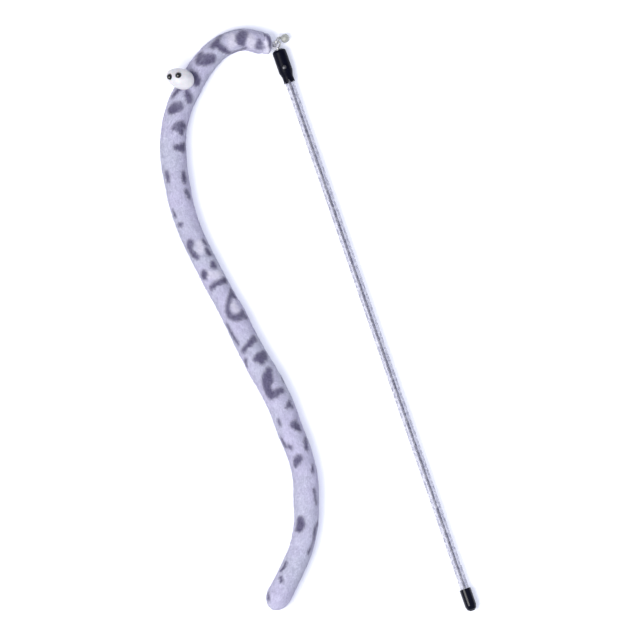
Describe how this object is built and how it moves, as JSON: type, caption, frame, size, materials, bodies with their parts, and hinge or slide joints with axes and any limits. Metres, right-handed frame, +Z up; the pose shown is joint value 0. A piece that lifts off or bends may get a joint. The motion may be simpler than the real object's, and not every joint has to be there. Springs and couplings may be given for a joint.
{
  "type": "cat teaser wand",
  "caption": "Cat teaser wand: clear-sleeved wire rod with a swivel, link ring, jingle bell and a long stuffed plush tail with a spotted coat and an eye piece.",
  "frame": {"origin": "middle of the whole object in plan, at the floor that it lies on", "axes": "+Y along the rod towards the toy end, +Z up from the floor, +X away from the tail"},
  "size_m": [0.1648, 0.5016, 0.0323],
  "materials": {
    "steel_core": "twisted wires",
    "clear_plastic": "clear, softly glossy plastic",
    "black_rubber": "satin to gloss black",
    "crimp_metal": "plain",
    "nickel": "bright nickel plate",
    "bell_metal": "pale plated, slightly dull",
    "pea_steel": "plain",
    "cord": "round braided cord",
    "plush": "short plush with dark spots",
    "stuffing": "loose fibre",
    "white_plastic": "satin white",
    "black_bead": "high gloss"
  },
  "bodies": {
    "wand": {"wire_core": "steel_core", "clear_sleeve": "clear_plastic", "end_cap": "black_rubber", "core_stop": "crimp_metal", "connector_body": "black_rubber", "core_ferrule": "crimp_metal", "lock_pin": "nickel", "swivel_barrel": "nickel"},
    "swivel": {"swivel_eye": "nickel"},
    "ring": {"link_ring": "nickel"},
    "bell": {"bell_upper": "bell_metal", "bell_lower": "bell_metal"},
    "pea": {"bell_pea": "pea_steel"},
    "tail_1": {"cord_loop": "cord", "tail_cover_1": "plush", "tail_filling_1": "stuffing", "eye_pod": "white_plastic", "pupil_left": "black_bead", "pupil_right": "black_bead", "eye_thread": "cord"},
    "tail_2": {"tail_cover_2": "plush", "tail_filling_2": "stuffing"},
    "tail_3": {"tail_cover_3": "plush", "tail_filling_3": "stuffing"},
    "tail_4": {"tail_cover_4": "plush", "tail_filling_4": "stuffing"},
    "tail_5": {"tail_cover_5": "plush", "tail_filling_5": "stuffing"}
  },
  "joints": [
    {"name": "swivel_spin", "type": "hinge", "parent": "wand", "child": "swivel", "pos_m": [0.0708, 0.22366, 0.0056], "axis": [0, 1, 0], "continuous": true},
    {"name": "ring_tilt", "type": "hinge", "parent": "swivel", "child": "ring", "pos_m": [0.07257, 0.23047, 0.0056], "axis": [0.766, -0.6428, 0], "range_deg": [-30, 5]},
    {"name": "tail_swing", "type": "hinge", "parent": "ring", "child": "tail_1", "pos_m": [0.0695, 0.22756, 0.00831], "axis": [0, 0, 1], "range_deg": [-20, 2]},
    {"name": "bell_swing", "type": "hinge", "parent": "ring", "child": "bell", "pos_m": [0.07463, 0.23294, 0.00565], "axis": [0.5483, 0.4981, 0.6717], "range_deg": [-20, 20]},
    {"name": "pea_roll", "type": "hinge", "parent": "bell", "child": "pea", "pos_m": [0.07884, 0.23106, 0.0036], "axis": [-0.4067, -0.9135, 0], "range_deg": [-60, 60]},
    {"name": "tail_bend_1", "type": "hinge", "parent": "tail_1", "child": "tail_2", "pos_m": [-0.03032, 0.18787, 0.0095], "axis": [0, 0, 1], "range_deg": [-30, 3]},
    {"name": "tail_bend_2", "type": "hinge", "parent": "tail_2", "child": "tail_3", "pos_m": [-0.04126, 0.09034, 0.0095], "axis": [0, 0, 1], "range_deg": [-30, 5]},
    {"name": "tail_bend_3", "type": "hinge", "parent": "tail_3", "child": "tail_4", "pos_m": [-0.02642, -0.00775, 0.0095], "axis": [0, 0, 1], "range_deg": [-30, 7]},
    {"name": "tail_bend_4", "type": "hinge", "parent": "tail_4", "child": "tail_5", "pos_m": [-0.0209, -0.10633, 0.0095], "axis": [0, 0, 1], "range_deg": [-30, 15]}
  ]
}
